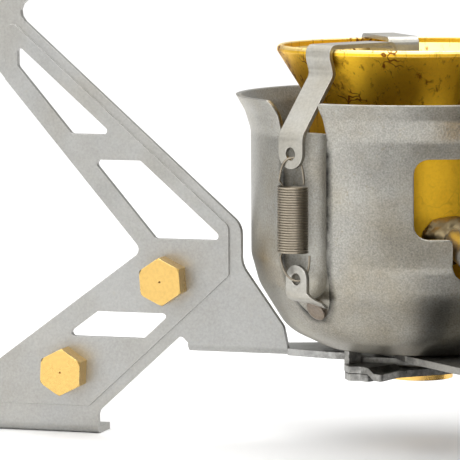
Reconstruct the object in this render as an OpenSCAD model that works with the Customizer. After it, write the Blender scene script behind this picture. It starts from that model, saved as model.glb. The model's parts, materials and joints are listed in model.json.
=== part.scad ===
// Multi-fuel camping stove with three sheet-metal legs.
// Millimetres, +Z up, +X along the fuel line and the fixed leg.
// The origin is the middle of the hub nut's flat underside, on the burner's axis.

/* [Sheet metal] */
// Thickness of the leg sheet
sheet_t = 1.3; // [1:0.1:1.5]
// Outer radius of the bends in the leg sheet
bend_r = 1.7; // [1.6:0.1:2.2]
// Height of the stamped panel above the leg sheet
panel_rise = 0.35; // [0.2:0.05:0.5]

/* [Stand] */
// Height of the hub nut's underside above the ground
hub_h = 13; // [12:0.5:16]
// Height of the pot support's top above the ground
stand_h = 92; // [90:0.5:96]
// Reach of the foot from the burner's axis
foot_out_r = 97.5; // [94:0.5:102]
// Where the foot starts, from the burner's axis
foot_in_r = 62.7; // [60:0.1:66]
// Width of the foot's turned-in flange
foot_w = 7; // [6:0.5:9]
// Distance of a leg plate's outer face from the leg's centre line
plate_off = 6; // [5.8:0.1:6.4]
// How far a leg swings back when it is folded, in degrees
fold_deg = 40; // [30:1:40]

/* [Leg outline] */
// Radius of the leg's narrow waist, at its inner edge
waist_r = 33.5; // [33:0.1:35]
// Lower end of the waist above the ground
waist_lo = 33.9; // [32:0.1:36]
// Upper end of the waist above the ground
waist_hi = 41.5; // [39:0.1:43]
// Radius where the leg plate's bottom edge starts
heel_r = 24.4; // [23.5:0.1:26]
// Radius where the leg plate's bottom edge ends, at the bend relief
relief_r = 44.3; // [42:0.1:46]
// Radius of the notch between the two arms of the leg
vee_r = 53.35; // [52:0.1:55]
// Height of that notch above the ground
vee_h = 36.1; // [34:0.1:38]
// Radius of the pot support's inner end
blade_in_r = 30; // [28:0.5:36]
// Radius of the pot support's outer end
blade_out_r = 94; // [92:0.5:97]
// Height of the pot support blade
blade_h = 7.7; // [7:0.1:9]
// Width of the rail along the leg's inner edge
rail_in = 4.3; // [3.8:0.1:4.8]
// Width of the rail along the leg's outer edge
rail_out = 3.65; // [3:0.05:4.2]
// Number of notches in the pot support's top edge
teeth = 7; // [3:1:9]

/* [Hub] */
// Radius of the bush that the leg eyes turn on
bush_r = 4; // [3.8:0.1:4.4]
// Radial running clearance of the leg eyes on the bush
eye_fit = 0.05; // [0.03:0.01:0.09]
// Radius of a leg eye
eye_r = 8.5; // [8:0.1:8.8]
// Radius of the hub nut's flange
nut_r = 6.3; // [5.8:0.1:7]
// Thickness of the hub nut
nut_t = 1.25; // [1:0.05:1.3]
// Gap between the stacked eyes
stack_gap = 0.1; // [0.08:0.01:0.12]
// Thickness of the bush's flange, between the fixed leg's eye and the cup
spacer_t = 0.4; // [0.3:0.05:0.6]

/* [Cup] */
// Outer radius of the cup's wall
cup_r = 31.9; // [31.5:0.1:32.2]
// Wall thickness of the cup
cup_wall = 0.85; // [0.7:0.05:1]
// Radius of the cup's flared rim
cup_rim_r = 34.7; // [34:0.1:36]
// Height of the cup, from its floor's underside to its rim
cup_h = 47.5; // [46.5:0.1:49]
// Inner radius of the three pressed channels
channel_r = 6; // [5.6:0.1:6.3]
// Distance of a channel's centre line from the burner's axis
channel_at = 33.8; // [33.5:0.1:34]
// Height of the channel walls above the cup's floor
channel_h = 41.5; // [39.6:0.1:42]
// Half width of the window in the cup
window_w = 9.85; // [9:0.05:10.5]
// Lower edge of the window above the cup's floor
window_lo = 23.1; // [22.6:0.1:24]
// Height of the window
window_h = 14.5; // [13:0.1:15]

/* [Burner] */
// Outer radius of the brass flame bowl's straight wall
bowl_r = 20.8; // [20:0.1:21.2]
// Outer radius of the flame bowl's rim
bowl_rim_r = 26.9; // [26.4:0.1:27.2]
// Wall thickness of the flame bowl
bowl_wall = 0.9; // [0.8:0.05:1.1]
// Height of the flame bowl's rim above the cup's floor
bowl_top = 56.8; // [56.6:0.1:58]
// Half angle of the flame bowl's flare, in degrees
flare_deg = 32; // [30:0.5:34]
// Outer radius of the fuel tube
tube_r = 2.5; // [2.3:0.05:2.6]
// Bore radius of the fuel tube
tube_bore_r = 1.7; // [1.4:0.05:1.8]
// Height of the fuel tube where it meets the bowl, above the cup's floor
tube_h = 22; // [21.6:0.1:22.4]
// Slope of the fuel tube, in degrees
tube_slope = 9.8; // [8:0.1:10.5]

/* [Clips] */
// Width of a strap
strap_w = 6; // [5.4:0.1:6.2]
// Thickness of a strap
strap_t = 0.8; // [0.7:0.05:0.9]
// Distance of a spring's centre line from the burner's axis
spring_at = 34.5; // [34.2:0.1:34.8]
// Outer radius of a spring
spring_r = 2.95; // [2.85:0.05:3.05]
// Wire radius of a spring
wire_r = 0.26; // [0.24:0.01:0.27]
// Number of curls in a spring
curls = 13; // [11:1:13]
// Length of a spring's wound part
spring_len = 13.2; // [13.2:0.1:13.5]

/* [Valve and jets] */
// Distance of the valve's centre from the burner's axis
valve_at = 68; // [67:0.5:70]
// Outer radius of the valve body
valve_r = 4.3; // [4.1:0.1:4.4]
// Radius of the valve spindle
spindle_r = 1.5; // [1.4:0.05:1.7]
// Radial running clearance of the spindle
spindle_fit = 0.05; // [0.03:0.01:0.09]
// Radius of the control knob
knob_r = 7.5; // [6.5:0.1:8.5]
// Radius of the hose nipple's spigot
nipple_r = 2; // [1.8:0.05:2.2]
// Width across the flats of a spare jet's head
jet_af = 8; // [7.5:0.1:8.5]
// Height of a spare jet's head
jet_head_h = 4; // [3.5:0.1:4.5]
// Radius of a jet's screwed shank
jet_shank_r = 2.4; // [2.2:0.05:2.6]

/* [Hidden] */
$fn = 72;

titanium = [0.60, 0.60, 0.58];
titanium_dark = [0.52, 0.51, 0.48];
brass = [0.86, 0.66, 0.20];
brass_pale = [0.95, 0.76, 0.38];
steel = [0.66, 0.66, 0.66];
steel_dark = [0.45, 0.43, 0.38];
braze = [0.50, 0.42, 0.28];
felt = [0.80, 0.78, 0.72];
knob_black = [0.12, 0.12, 0.12];

leg_az = [0, 240, 120];
clip_az = [62, 182, 302];
ground_z = -hub_h;
eps = 0.01;
snug = 0.02;

// Levels of the hub stack, from the nut up
right_z = nut_t + stack_gap;
washer_z = right_z + sheet_t + stack_gap;
washer_t = 0.35;
left_z = washer_z + washer_t + stack_gap;
fixed_z = left_z + sheet_t + stack_gap;
floor_z = fixed_z + sheet_t + spacer_t;
flange_z = left_z + 0.65;

// Sizes shared by the burner's inner pieces
cup_floor_top = floor_z + cup_wall;
stud_r = 3;
jet_hex_af = 7;
block_r = 8;
block_step = 2;
tube_z = floor_z + tube_h;
block_top = tube_z + 6;
bowl_floor_z = cup_floor_top + 6;
rim_band = 1.1;
bowl_z = floor_z + bowl_top;
flare_lo = bowl_z - rim_band - (bowl_rim_r - bowl_r) / tan(flare_deg);
plate_z = flare_lo + 1;
boss_r = 5.6;

function unit(v) = v / norm(v);
function left_of(v) = [-v[1], v[0]];
function cross2(a, b) = a[0] * b[1] - a[1] * b[0];
// Where the line through p along d meets the line through q along e
function meet(p, d, q, e) = p + d * cross2(q - p, e) / cross2(d, e);

// One rounded corner at b between a and c, as points on its arc
function corner(a, b, c, r, n) =
    let (u = unit(a - b), v = unit(c - b), half = acos(min(1, max(-1, u * v))) / 2,
         run = r / tan(half), mid = b + unit(u + v) * r / sin(half),
         p = b + u * run, q = b + v * run,
         a0 = atan2(p[1] - mid[1], p[0] - mid[0]), a1 = atan2(q[1] - mid[1], q[0] - mid[0]),
         turn = a1 - a0 > 180 ? a1 - a0 - 360 : a1 - a0 < -180 ? a1 - a0 + 360 : a1 - a0)
    [for (i = [0:n]) mid + r * [cos(a0 + turn * i / n), sin(a0 + turn * i / n)]];

// A closed outline from [x, y, corner radius] rows
function rounded(rows, n = 5) =
    let (k = len(rows), p = [for (w = rows) [w[0], w[1]]])
    [for (i = [0:k - 1])
        each rows[i][2] > 0
            ? corner(p[(i + k - 1) % k], p[i], p[(i + 1) % k], rows[i][2], n) : [p[i]]];

// An open centre line from [x, y, corner radius] rows
function bent(rows, n = 5) =
    let (k = len(rows), p = [for (w = rows) [w[0], w[1]]])
    [for (i = [0:k - 1])
        each i > 0 && i < k - 1 && rows[i][2] > 0
            ? corner(p[i - 1], p[i], p[i + 1], rows[i][2], n) : [p[i]]];

// A band of thickness t about an open centre line
function band(path, t) =
    let (k = len(path),
         dir = [for (i = [0:k - 1])
            unit((i < k - 1 ? unit(path[i + 1] - path[i]) : [0, 0])
                + (i > 0 ? unit(path[i] - path[i - 1]) : [0, 0]))],
         seg = [for (i = [0:k - 1]) i < k - 1 ? unit(path[i + 1] - path[i]) : unit(path[i] - path[i - 1])],
         off = [for (i = [0:k - 1]) left_of(dir[i]) * t / 2 / (dir[i] * seg[i])])
    concat([for (i = [0:k - 1]) path[i] + off[i]], [for (i = [k - 1:-1:0]) path[i] - off[i]]);

// An open line moved to its left by a distance
function inset(path, by) = [for (i = 0, w = band(path, 2 * by); i < len(path); i = i + 1) w[i]];

// Outline of a leg plate, in radius and height above the ground
stand_lo = stand_h - blade_h;
waist_top = [waist_r, waist_hi];
in_dir = unit([48.4, 42.8]);
out_dir = unit([0.848, 1]);
calf_slope = 1.343;
low_dir = unit([-calf_slope, 1]);
relief = [relief_r + 1.4, flange_z + hub_h + 3.2];
foot_knee = [foot_in_r, 4.4];
toe = [foot_out_r, vee_h - (foot_out_r - vee_r) / calf_slope];
shin_dir = unit(foot_knee - relief);
arm_tip = meet([blade_out_r, 0], [0, 1], [vee_r, vee_h], out_dir);
blade_root = meet([0, stand_lo], [1, 0], waist_top, in_dir);
heel_top = [heel_r + 0.8, 22.3];

plate_rows = [
    [blade_in_r, stand_h, 1.2], [blade_in_r, stand_lo, 2.4], [blade_root[0], blade_root[1], 2.5],
    [waist_r, waist_hi, 4], [waist_r, waist_lo, 5], [heel_top[0], heel_top[1], 2.2],
    [heel_r, flange_z + hub_h + bend_r, 0], [relief_r, flange_z + hub_h + bend_r, 0],
    [relief[0], relief[1], 1], [foot_knee[0], foot_knee[1], 1.6], [foot_in_r, bend_r, 0],
    [foot_out_r, bend_r, 0], [toe[0], toe[1], 1.2], [vee_r, vee_h, 1.5],
    [arm_tip[0], arm_tip[1], 6], [blade_out_r, stand_h, 2.5]];

// Lines set in from the leg's edges
in_line = waist_top - left_of(in_dir) * rail_in;
out_line = [vee_r, vee_h] + left_of(out_dir) * rail_out;
shin_line = relief + left_of(shin_dir) * rail_in;
rail_calf = 4.1;
calf_line = [vee_r, vee_h] + left_of(low_dir) * rail_calf;
level = [1, 0];

function window(lo, hi, r) =
    let (a = meet([0, hi], level, in_line, in_dir), b = meet([0, lo], level, in_line, in_dir),
         c = meet([0, lo], level, out_line, out_dir), d = meet([0, hi], level, out_line, out_dir))
    [[a[0], a[1], r], [b[0], b[1], r], [c[0], c[1], r], [d[0], d[1], r]];

upper_end_r = blade_out_r - 15.6;
upper_lo_h = 58.35;
middle_hi_h = 53.45;
middle_lo_h = 38.5;
lower_hi_h = 24.1;
lower_lo_h = 19.1;
upper_lo = meet([0, upper_lo_h], level, in_line, in_dir);
upper_in = meet([upper_end_r, 0], [0, 1], in_line, in_dir);
upper_out = meet([upper_end_r, 0], [0, 1], out_line, out_dir);
upper_foot = meet([0, upper_lo_h], level, out_line, out_dir);
upper_window = [[upper_in[0], upper_in[1], 0.6], [upper_lo[0], upper_lo[1], 0.7],
                [upper_foot[0], upper_foot[1], 0.9], [upper_out[0], upper_out[1], 1.2]];
middle_window = window(middle_lo_h, middle_hi_h, 0.8);
low_a = meet([0, lower_hi_h], level, shin_line, shin_dir);
low_b = meet([0, lower_lo_h], level, shin_line, shin_dir);
low_c = meet([0, lower_lo_h], level, calf_line, low_dir);
low_d = meet([0, lower_hi_h], level, calf_line, low_dir);
lower_window = [[low_a[0], low_a[1], 0.6], [low_b[0], low_b[1], 0.7],
                [low_c[0], low_c[1], 0.7], [low_d[0], low_d[1], 0.8]];

// The stamped panel, bounded by lines near the leg's inner edge and the foot
panel_in = waist_top - left_of(in_dir) * 1.75;
panel_shin = relief + left_of(shin_dir) * 2;
panel_r = waist_r + 2.4;
panel_lo = 5.5;
panel_top = meet([blade_out_r - 13, 0], [0, 1], panel_in, in_dir);
panel_a = meet([panel_r, 0], [0, 1], panel_in, in_dir);
panel_b = meet([panel_r, 0], [0, 1], panel_shin, shin_dir);
panel_c = meet([0, panel_lo], level, panel_shin, shin_dir);
panel_rows = [[panel_top[0], panel_top[1], 1.5], [panel_a[0], panel_a[1], 2], [panel_b[0], panel_b[1], 1],
              [panel_c[0], panel_lo, 1], [foot_out_r + 5, panel_lo, 0], [foot_out_r + 5, 20, 0],
              [panel_top[0], toe[1] + 62, 0]];

// Where the two spare jets sit on the left leg, in radius and height
jet_spots = [[48.5, 30.6], [68.9, 12.4]];
jet_turns = [4, -3];

module plate_2d() {
    difference() {
        polygon(rounded(plate_rows));
        polygon(rounded(upper_window));
        polygon(rounded(middle_window));
        polygon(rounded(lower_window));
        tooth_pitch = (blade_out_r - blade_in_r - 12) / teeth;
        for (i = [0:teeth - 1])
            translate([blade_in_r + 6 + tooth_pitch * (i + 0.5), stand_h])
                polygon([[-1.5, 0.5], [1.5, 0.5], [0.3, -1.3], [-0.3, -1.3]]);
    }
}

// A slab of the leg plate between two distances from the leg's centre line
module upright(y0, y1) {
    translate([0, y1, ground_z]) rotate([90, 0, 0]) linear_extrude(y1 - y0) children();
}

// A quarter-round bend along the radius, from an upright plate to a flat flange
module sheet_bend(r0, r1, z) {
    translate([r0, plate_off - bend_r, z + bend_r]) rotate([90, 0, 90]) linear_extrude(r1 - r0)
        intersection() {
            difference() {
                circle(bend_r);
                circle(bend_r - sheet_t);
            }
            translate([0, -bend_r]) square(bend_r);
        }
}

// Plan of the flange and arm that runs to the hub, in radius and offset
arm_w = 6.6;
arm_straight = 13;
arm_end_y = 3;
joggle_run = 2.2;
module arm_2d() {
    polygon([[0, -arm_w], [arm_straight, -arm_w], [relief_r, arm_end_y], [relief_r, plate_off - bend_r],
             [heel_r, plate_off - bend_r], [heel_r, plate_off], [arm_straight + 2, eye_r - 0.2],
             [arm_straight - 4, eye_r], [0, eye_r]]);
    circle(eye_r);
}

// Side view of the arm: the eye's level, a joggle, then the flange's level
module arm_side(z, joggle, flange) {
    polygon([[-eye_r - 1, z], [joggle, z], [joggle + joggle_run, flange], [relief_r + 1, flange],
             [relief_r + 1, flange + sheet_t], [joggle + joggle_run, flange + sheet_t],
             [joggle, z + sheet_t], [-eye_r - 1, z + sheet_t]]);
}

module leg_arm(z, joggle, flange) {
    difference() {
        intersection() {
            translate([0, 0, -1]) linear_extrude(floor_z + 4) arm_2d();
            translate([0, arm_w + eye_r, 0]) rotate([90, 0, 0])
                linear_extrude(2 * (arm_w + eye_r)) arm_side(z, joggle, flange);
        }
        translate([0, 0, -1]) cylinder(r = bush_r + eye_fit, h = floor_z + 4);
    }
}

module leg_plate(flange) {
    difference() {
        union() {
            upright(plate_off - sheet_t, plate_off) plate_2d();
            upright(plate_off - eps, plate_off + panel_rise) panel_2d(0);
        }
        upright(plate_off - sheet_t - 1, plate_off - sheet_t + panel_rise) panel_2d(0.5);
        translate([heel_r - 1, 0, 0]) cube([relief_r - heel_r + 1, plate_off + 1, flange + bend_r]);
    }
}

// The stamped panel, or its hollow at the back, which is smaller by a margin
module panel_2d(margin) {
    intersection() {
        plate_2d();
        if (margin == 0) polygon(rounded(panel_rows));
        else translate([margin, -margin / 2]) polygon(rounded(panel_rows));
    }
}

module leg(z, joggle, flange) {
    leg_plate(flange);
    sheet_bend(heel_r, relief_r, flange);
    leg_arm(z, joggle, flange);
    sheet_bend(foot_in_r, foot_out_r, ground_z);
    translate([foot_in_r, plate_off - foot_w, ground_z])
        cube([foot_out_r - foot_in_r, foot_w - bend_r, sheet_t]);
}

// Radius at which each leg's arm steps from its eye's level to its flange's level; the fixed leg's stays level
joggle_at = [12, 10, 18.5];

module leg_fixed() {
    color(titanium) rotate([0, 0, leg_az[0]]) leg(fixed_z, joggle_at[0], fixed_z);
}

module leg_left() {
    color(titanium) rotate([0, 0, leg_az[1]]) difference() {
        leg(left_z, joggle_at[1], flange_z);
        for (s = jet_spots)
            translate([s[0], plate_off + 1, s[1] + ground_z]) rotate([90, 0, 0])
                cylinder(r = jet_shank_r + snug, h = sheet_t + 2);
    }
}

// The right leg's tail: it leaves the hub, steps up, folds under itself at its end and carries the upturned
// tab that the left leg stops on
tail_rise = 0.9;
tail_z = right_z + tail_rise;
tail_x = -9.3;
hem_gap = 0.12;
step_y = [-4.4, -2.8];
tail_flat = [[0, -eye_r], [-4.5, -7.3], [tail_x - 0.2, -5.7], [tail_x - 0.2, -3.2], [-6, -3]];
tail_end = [[tail_x, -5.7, 0], [-11.3, -5.2, 3], [-17.2, -6.6, 0.6], [-16.5, -0.4, 1], [-17.9, 1.2, 0.5],
            [-16, 4.3, 0.5], [-12.7, 4.3, 0], [tail_x, -1.5, 0]];
hem_end = [[-16.5, -2.4, 0.6], [-16.5, -0.4, 1], [-17.9, 1.2, 0.5], [-16, 4.3, 0.5], [-14.6, 2.6, 0.4],
           [-14.6, -2.4, 0.4]];
hem_fold = [[-17.4, 1.5], [-16.8, 1.1], [-15.4, 3.4], [-16, 3.8]];
tab_x = [-15.9, -12.7];
tab_y = 3;
tab_gap = 0.3;
module tail() {
    translate([0, 0, right_z]) linear_extrude(sheet_t)
        difference() {
            polygon(tail_flat);
            circle(bush_r + eye_fit);
        }
    intersection() {
        linear_extrude(floor_z) polygon(rounded(tail_end));
        rotate([90, 0, 90]) translate([0, 0, -2 * eye_r - 2]) linear_extrude(2 * eye_r)
            polygon([[-2 * eye_r, right_z], [step_y[0], right_z], [step_y[1], tail_z], [eye_r, tail_z],
                     [eye_r, tail_z + sheet_t], [step_y[1], tail_z + sheet_t], [step_y[0], right_z + sheet_t],
                     [-2 * eye_r, right_z + sheet_t]]);
    }
    translate([0, 0, tail_z - sheet_t - hem_gap]) linear_extrude(sheet_t) polygon(rounded(hem_end));
    translate([0, 0, tail_z - sheet_t / 2]) linear_extrude(sheet_t) polygon(hem_fold);
    translate([tab_x[0], tab_y, tail_z])
        cube([tab_x[1] - tab_x[0], sheet_t, floor_z - tab_gap - tail_z]);
}

module leg_right() {
    color(titanium) rotate([0, 0, leg_az[2]]) {
        leg(right_z, joggle_at[2], flange_z);
        tail();
    }
}

// The cup: a pressed shell with a flared rim, three channels, petals between them and a window
cup_top_z = floor_z + cup_h;
cup_outer = [[0, floor_z, 0], [18, floor_z, 5], [25.2, floor_z + 3.5, 8], [cup_r - 1.5, floor_z + 12, 9],
             [cup_r, floor_z + 17.4, 6], [cup_r, cup_top_z - 6.6, 5], [cup_r + 1.1, cup_top_z - 3, 4],
             [cup_rim_r, cup_top_z, 0]];
cup_path = bent(cup_outer, 7);
cup_in = inset(cup_path, cup_wall);

// The space inside the middle of the cup's wall
module cup_fill() {
    skin = inset(cup_path, cup_wall / 2);
    rotate_extrude() polygon(concat([[0, cup_top_z + 2]], [for (p = skin) [max(p[0], 0), p[1]]]));
}

module cup_shell() {
    rotate_extrude() intersection() {
        polygon(concat(cup_path, [for (i = [len(cup_in) - 1:-1:0]) [max(cup_in[i][0], 0), cup_in[i][1]]]));
        square([cup_rim_r + 2, cup_top_z]);
    }
}

// Round form that presses a channel into the cup, with a ball at its lower end
channel_lo = 16.1;
module channel_form(r, top) {
    translate([channel_at, 0, floor_z + channel_lo]) {
        cylinder(r = r, h = top - channel_lo);
        sphere(r);
    }
}

// Where a channel opens at the rim, between two petals, one with a rounder corner than the other. The arcs
// cross the rim's top at a clear angle.
petal_r = [3.4, 1];
petal_over = 0.15;
petal_half = channel_r - 0.3;
function petal_side(r) =
    let (mid = cup_top_z - r * (1 - petal_over))
    concat([[petal_half, floor_z + channel_h - 1], [petal_half, mid]],
           [for (i = [1:5]) [petal_half + r * (1 - cos(i * 18)), mid + r * sin(i * 18)]],
           [[petal_half + r, cup_top_z + 2]]);
module petal_gap() {
    lo = petal_side(petal_r[0]);
    hi = petal_side(petal_r[1]);
    translate([cup_r - 10, 0, 0]) rotate([90, 0, 90]) linear_extrude(20)
        polygon(concat(hi, [for (i = [len(lo) - 1:-1:0]) [-lo[i][0], lo[i][1]]]));
}

// The window, with a slot below it for the fuel tube
slot_w = tube_r + 0.5;
slot_lo = floor_z + 15.4;
window_corner = 2.6;
slot_corner = 0.9;
window_lo_z = floor_z + window_lo;
module cup_window() {
    hi = window_lo_z + window_h;
    translate([cup_r - 6, 0, 0]) rotate([90, 0, 90]) linear_extrude(12)
        polygon(rounded([[-window_w, hi, window_corner], [-window_w, window_lo_z, window_corner],
                         [-slot_w, window_lo_z, slot_corner], [-slot_w, slot_lo, slot_w - 0.05],
                         [slot_w, slot_lo, slot_w - 0.05], [slot_w, window_lo_z, slot_corner],
                         [window_w, window_lo_z, window_corner], [window_w, hi, window_corner]]));
}

// How far up the slanted wall the rivets sit, and how far to one side of the clips
rivet_part = 0.68;
rivet_off = 1.2;
wall_lo = [cup_outer[2][0], cup_outer[2][1]];
wall_hi = [cup_outer[3][0], cup_outer[3][1]];
wall_dir = unit(wall_hi - wall_lo);
wall_out = [wall_dir[1], -wall_dir[0]];
rivet_p = wall_lo + (wall_hi - wall_lo) * rivet_part;
rivet_tilt = atan2(wall_out[0], wall_out[1]);
module burner_cup() {
    color(titanium_dark) difference() {
        union() {
            difference() {
                cup_shell();
                for (a = clip_az) rotate([0, 0, a]) petal_gap();
            }
            for (a = clip_az) intersection() {
                cup_fill();
                rotate([0, 0, a]) channel_form(channel_r + cup_wall, channel_h);
            }
        }
        for (a = clip_az) rotate([0, 0, a]) channel_form(channel_r, channel_h + 0.5);
        cup_window();
        translate([0, 0, floor_z - 1]) cylinder(r = stud_r + snug, h = cup_wall + 2);
        for (a = clip_az) rotate([0, 0, a]) rivet_shank(snug);
    }
}

// Rivet that holds a hook plate to the cup, square to the cup's slanted wall
rivet_r = 1;
rivet_head_r = 2;
rivet_head_h = 1.1;
rivet_tail_r = 1.7;
rivet_tail_h = 0.6;
// Clearance of the tail's flat face to the cup's round inside
rivet_tail_fit = 0.22;
module at_rivet() {
    translate([rivet_p[0], rivet_off, rivet_p[1]]) rotate([0, rivet_tilt, 0]) children();
}

module rivet_shank(fit) {
    at_rivet() translate([0, 0, -cup_wall - rivet_tail_h]) cylinder(r = rivet_r + fit, h = cup_wall + hook_t + 1);
}

module hook_rivets() {
    color(steel) for (a = clip_az) rotate([0, 0, a]) {
        rivet_shank(0);
        at_rivet() {
            translate([0, 0, hook_t + 2 * snug]) intersection() {
                cylinder(r = rivet_head_r, h = rivet_head_h);
                translate([0, 0, -rivet_head_r]) sphere(rivet_head_r + rivet_head_h - 0.1);
            }
            translate([0, 0, -cup_wall - rivet_tail_fit - rivet_tail_h]) cylinder(r = rivet_tail_r, h = rivet_tail_h);
        }
    }
}

// Brass flame bowl: a straight wall with a wide conical flare and a flat floor
rim_in_r = bowl_rim_r - bowl_wall * 1.15;
module flame_bowl() {
    w = bowl_wall;
    color(brass) difference() {
        rotate_extrude() difference() {
            polygon([[0, bowl_floor_z], [bowl_r - 1.5, bowl_floor_z], [bowl_r - 0.4, bowl_floor_z + 0.4],
                     [bowl_r, bowl_floor_z + 1.5], [bowl_r, flare_lo], [bowl_rim_r, bowl_z - rim_band],
                     [bowl_rim_r, bowl_z - 0.55], [bowl_rim_r - 0.2, bowl_z - 0.2],
                     [bowl_rim_r - 0.5, bowl_z], [0, bowl_z]]);
            polygon([[0, bowl_floor_z + w], [bowl_r - 1.9, bowl_floor_z + w], [bowl_r - w, bowl_floor_z + 2],
                     [bowl_r - w, flare_lo + 0.3], [rim_in_r, bowl_z - rim_band],
                     [rim_in_r, bowl_z - 0.2], [rim_in_r + 0.2, bowl_z], [rim_in_r + 0.2, bowl_z + 1],
                     [0, bowl_z + 1]]);
        }
        translate([0, 0, bowl_floor_z - 1]) cylinder(r = block_r - block_step + snug, h = w + 2);
        tube_line(tube_r + snug);
    }
}

// Stamped plate that seats in the bowl's flare, with rings of flame slots round a raised boss
plate_r = bowl_r - bowl_wall + 0.3;
boss_top = bowl_z - 3.4;
plate_t = 0.8;
plate_top = plate_z + plate_t + 0.4;
ring_at = boss_r + (plate_r - boss_r) * 0.28;
ring_step = (plate_r - boss_r) * 0.35;
module flame_plate() {
    t = plate_t;
    color(steel) difference() {
        rotate_extrude() polygon([[0, boss_top - t], [boss_r - t - 0.8, boss_top - t], [boss_r - t, boss_top - 1.6],
                                  [boss_r - t, plate_z + 1], [boss_r + 0.6, plate_z], [plate_r - 0.6, plate_z],
                                  [plate_r, plate_z + 0.7], [plate_r, plate_top],
                                  [boss_r + 1.2, plate_top], [boss_r, plate_z + 2], [boss_r, boss_top - 1],
                                  [boss_r - 0.6, boss_top], [0, boss_top]]);
        for (ring = [0:1], i = [0:11])
            rotate([0, 0, i * 30 + ring * 15]) translate([ring_at + ring * ring_step, 0, plate_z - 1])
                linear_extrude(4) union() {
                    translate([-1.2, -0.7]) square([2.4, 1.4]);
                    for (x = [-1.2, 1.2]) translate([x, 0]) circle(0.7, $fn = 24);
                }
        for (i = [0:7])
            rotate([0, 0, i * 45]) translate([boss_r - 2, 0, boss_top - 2.6]) rotate([0, 90, 0])
                cylinder(r = 0.6, h = 3, $fn = 24);
    }
}

// Mixing tube between the main jet and the flame plate's boss, belled at both ends
mix_wall = 0.5;
mix_r = 3.9;
bell_r = 4.7;
main_head = 4.5;
main_shank = 3.6;
feed_r = 0.8;
stud_in_block = 5.5;
jet_top = block_top + main_head;
module mixing_tube() {
    color(brass) rotate_extrude() polygon([[bell_r - mix_wall, jet_top + 1], [bell_r, jet_top + 1],
        [mix_r, jet_top + 4], [mix_r, plate_z - 1.5], [boss_r, plate_z], [boss_r - mix_wall - 0.2, plate_z],
        [mix_r - mix_wall, plate_z - 1.5], [mix_r - mix_wall, jet_top + 4]]);
}

// Jet block on the cup's floor, with a shoulder for the bowl, a cross bore for the tube and a seat for the jet
module jet_block() {
    neck = block_r - block_step;
    head = neck + 0.6;
    color(brass) difference() {
        rotate_extrude() polygon([[0, cup_floor_top], [block_r, cup_floor_top], [block_r, bowl_floor_z],
                                  [neck, bowl_floor_z], [neck, tube_z - 4.6], [head, tube_z - 4],
                                  [head, block_top - 1], [head - 1, block_top], [0, block_top]]);
        tube_line(tube_r + snug);
        translate([0, 0, cup_floor_top - 1]) cylinder(r = stud_r + snug, h = stud_in_block + 1.5);
        translate([0, 0, block_top - main_shank - 0.4]) cylinder(r = jet_shank_r + snug, h = main_shank + 1);
        translate([0, 0, tube_z]) cylinder(r = feed_r, h = block_top - tube_z);
    }
}

orifice_r = 0.22;
// A jet: hexagonal head, screwed shank, a wide bore from the back and a fine orifice
module jet(head_h, af, shank) {
    difference() {
        union() {
            intersection() {
                cylinder(r = af / 2 / cos(30), h = head_h, $fn = 6);
                cylinder(r1 = af / 2 / cos(30) + head_h - 0.35, r2 = af / 2 / cos(30) - 0.35, h = head_h);
            }
            translate([0, 0, -shank]) cylinder(r = jet_shank_r, h = shank);
        }
        translate([0, 0, -shank - 1]) cylinder(r = 1, h = shank + head_h);
        translate([0, 0, -shank]) cylinder(r = orifice_r, h = shank + head_h + 1, $fn = 24);
    }
}

module main_jet() {
    color(brass_pale) translate([0, 0, block_top]) jet(main_head, jet_hex_af, main_shank);
}

module spare_jet(k) {
    color(brass_pale) rotate([0, 0, leg_az[1]])
        translate([jet_spots[k][0], plate_off + panel_rise, jet_spots[k][1] + ground_z])
            rotate([-90, 0, 0]) rotate([0, 0, 30 + jet_turns[k]]) jet(jet_head_h, jet_af, 4);
}
module spare_jet_a() { spare_jet(0); }
module spare_jet_b() { spare_jet(1); }

// Priming pad: a felt ring on the cup's floor
pad_r = 16;
pad_h = 3;
module priming_pad() {
    color(felt) translate([0, 0, cup_floor_top]) rotate_extrude()
        polygon(rounded([[block_r + 0.2, 0, 0], [pad_r, 0, 0], [pad_r, pad_h, 1], [block_r + 0.2, pad_h, 1]]));
}

// The fuel tube's centre line: a straight slope out of the jet block, a knee, then level to the valve
tube_in = 3;
tube_knee = valve_at - 15;
valve_z = tube_z - (tube_knee - bowl_r) * tan(tube_slope);
module tube_line(r) {
    slant = (tube_knee - tube_in) / cos(tube_slope);
    level_len = body_lo + 3 - tube_knee;
    translate([tube_knee, 0, valve_z]) {
        difference() {
            rotate([0, tube_slope - 90, 0]) translate([0, 0, -r]) cylinder(r = r, h = slant + r);
            rotate([0, tube_slope / 2, 0]) translate([0, -2 * r, -2 * r]) cube(4 * r);
        }
        difference() {
            rotate([0, 90, 0]) translate([0, 0, -r]) cylinder(r = r, h = level_len + r);
            rotate([0, tube_slope / 2, 0]) translate([-4 * r, -2 * r, -2 * r]) cube(4 * r);
        }
    }
}

module fuel_tube() {
    color(steel) difference() {
        tube_line(tube_r);
        tube_line(tube_bore_r);
    }
}

// Brazing metal heaped round the tube on the bowl's wall
braze_r = 4.7;
module brazed_joint() {
    color(braze) difference() {
        translate([bowl_r - 0.6, 0, tube_z - 0.2]) sphere(braze_r);
        translate([0, 0, bowl_floor_z]) cylinder(r = bowl_r + snug, h = flare_lo);
        tube_line(tube_r + snug);
    }
}

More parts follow.
